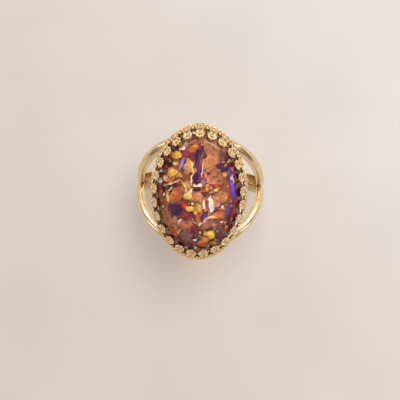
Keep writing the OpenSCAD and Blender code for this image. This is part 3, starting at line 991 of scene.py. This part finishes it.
def build_floor():
    """A sheet of paper with painted light: darker and warmer towards the ring's lower left and
    lighter and cooler across to its upper right.
    """
    reach, light_falloff_reach = 1500, 35
    mesh = bpy.data.meshes.new("paper_floor")
    corners = [(-reach, -reach), (reach, -reach), (reach, reach), (-reach, reach)]
    mesh.from_pydata([(x * MM, y * MM, -outer_r * MM) for x, y in corners], [], [(0, 1, 2, 3)])
    floor = bpy.data.objects.new("paper_floor", mesh)
    bpy.context.scene.collection.objects.link(floor)
    material, nodes, links, shader = new_material("pale_paper")
    grain = noise(nodes, links, 60, 4)
    coords = nodes.new("ShaderNodeTexCoord")
    diagonal = nodes.new("ShaderNodeVectorMath")
    diagonal.operation = "DOT_PRODUCT"
    diagonal.inputs[1].default_value = (0.7, 0.7, 0)
    links.new(coords.outputs["Object"], diagonal.inputs[0])
    shade = nodes.new("ShaderNodeMapRange")
    shade.inputs["From Min"].default_value = -light_falloff_reach * MM
    shade.inputs["From Max"].default_value = light_falloff_reach * MM
    links.new(diagonal.outputs["Value"], shade.inputs["Value"])
    # Painted light: the paper brightens and cools towards the upper right, as the light falls off
    # across it.
    tones = [(0, (0.73, 0.667, 0.62)), (0.5, (0.75, 0.705, 0.68)), (1, (0.8, 0.79, 0.795))]
    paper = ramp(nodes, links, shade.outputs["Result"], tones)
    fibres = ramp(nodes, links, grain, [(0.3, (0.97,) * 3), (0.7, (1.03,) * 3)])
    links.new(multiply(nodes, links, paper, fibres), shader.inputs["Base Color"])
    shader.inputs["Roughness"].default_value = 0.8
    shader.inputs["Specular IOR Level"].default_value = 0.1
    mesh.materials.append(material)


def add_lamp(name, direction, distance, size, power, colour, roll=0):
    """A rectangular lamp that faces the ring: metres, watts, and its turn in degrees."""
    data = bpy.data.lights.new(name, "AREA")
    data.shape = "RECTANGLE"
    data.size, data.size_y = size
    data.energy = power
    data.color = colour
    lamp = bpy.data.objects.new(name, data)
    bpy.context.scene.collection.objects.link(lamp)
    towards = Vector(direction).normalized()
    lamp.location = towards * distance
    turn = Quaternion((0, 0, 1), math.radians(roll))
    lamp.rotation_euler = (towards.to_track_quat("Z", "Y") @ turn).to_euler()
    return lamp


def build_light():
    overhead = add_lamp("overhead", (0.15, 0.38, 0.9), 0.6, (0.3, 0.3), 1.8, (1, 0.97, 0.94))
    # The overhead lamp gives the soft shadow on the floor, and no glare in the stone
    overhead.visible_glossy = False
    # Low cards of light give the metal its long highlights, and don't reach the paper
    warm_white = (1, 0.98, 0.95)
    cards = [add_lamp("right_card", (0.42, 0.88, 0.13), 0.6, (0.4, 0.14), 0.62, warm_white),
             add_lamp("left_card", (-0.45, 0.87, 0.12), 0.6, (0.4, 0.13), 0.62, warm_white),
             add_lamp("low_left", (-0.97, 0.12, 0.14), 0.5, (0.04, 0.16), 0.12, warm_white),
             add_lamp("low_right", (0.97, 0.16, 0.2), 0.5, (0.03, 0.12), 0.14, warm_white)]
    for card in cards:
        card.visible_diffuse = False
    # The window is there for its two reflections in the stone, and casts no second shadow
    warm, cool = (1, 0.97, 0.95), (0.93, 0.95, 1)
    panes = [add_lamp("window", (0.31, -0.24, 0.92), 0.5, (0.055, 0.13), 0.34, warm, -22),
             add_lamp("window_edge", (0.12, -0.23, 0.96), 0.5, (0.024, 0.065), 0.075, cool, -12)]
    for pane in panes:
        pane.data.use_shadow = False
    # Warm light that the gold throws on the paper under the ring
    glow = bpy.data.lights.new("gold_glow", "POINT")
    glow.energy = 2.4e-4
    glow.color = (1, 0.62, 0.32)
    glow.shadow_soft_size = 2 * MM
    lamp = bpy.data.objects.new("gold_glow", glow)
    lamp.location = Vector((0, -12.5, 5 - outer_r)) * MM
    lamp.visible_glossy = False
    lamp.visible_camera = False
    bpy.context.scene.collection.objects.link(lamp)


def build_sky():
    """A room that is pale at eye level and darker overhead and at the floor."""
    world = bpy.data.worlds.new("studio")
    bpy.context.scene.world = world
    world.use_nodes = True
    nodes, links = world.node_tree.nodes, world.node_tree.links
    coords = nodes.new("ShaderNodeTexCoord")
    parts = nodes.new("ShaderNodeSeparateXYZ")
    links.new(coords.outputs["Generated"], parts.inputs["Vector"])
    sky = [(0.0, srgb(158, 142, 128)), (0.16, srgb(182, 166, 152)), (0.3, srgb(250, 244, 238)),
           (0.62, srgb(255, 252, 248)), (0.82, srgb(206, 198, 192)), (1.0, srgb(160, 150, 142))]
    links.new(ramp(nodes, links, parts.outputs["Z"], sky), nodes["Background"].inputs["Color"])
    nodes["Background"].inputs["Strength"].default_value = 0.61


def build_camera():
    """The camera stands over the ring, a little to the finger tip's side, and rolls slightly."""
    distance = 250
    tip_lean, side_lean, roll = math.radians(6.8), math.radians(1.1), math.radians(1.38)
    x, y = math.sin(side_lean), math.sin(tip_lean)
    place_mm = Vector((x, y, math.sqrt(1 - x * x - y * y))) * distance
    aim = Vector((0.02, -2.47, 0))
    ahead = (aim - place_mm).normalized()
    right = ahead.cross(Vector((0, 1, 0))).normalized()
    up = right.cross(ahead)
    right, up = (right * math.cos(roll) + up * math.sin(roll),
                 up * math.cos(roll) - right * math.sin(roll))
    data = bpy.data.cameras.new("over_the_ring")
    data.sensor_width = 36
    data.lens = 144.8
    data.clip_start = distance * MM / 25
    camera = bpy.data.objects.new("over_the_ring", data)
    bpy.context.scene.collection.objects.link(camera)
    turn = Matrix((right, up, -ahead)).transposed()
    camera.matrix_world = Matrix.Translation(place_mm * MM) @ turn.to_4x4()
    bpy.context.scene.camera = camera


build_camera()
build_shank()
build_crown()
build_stone()
build_floor()
build_light()
build_sky()
bpy.context.scene.view_settings.view_transform = "Standard"

bpy.context.view_layer.update()
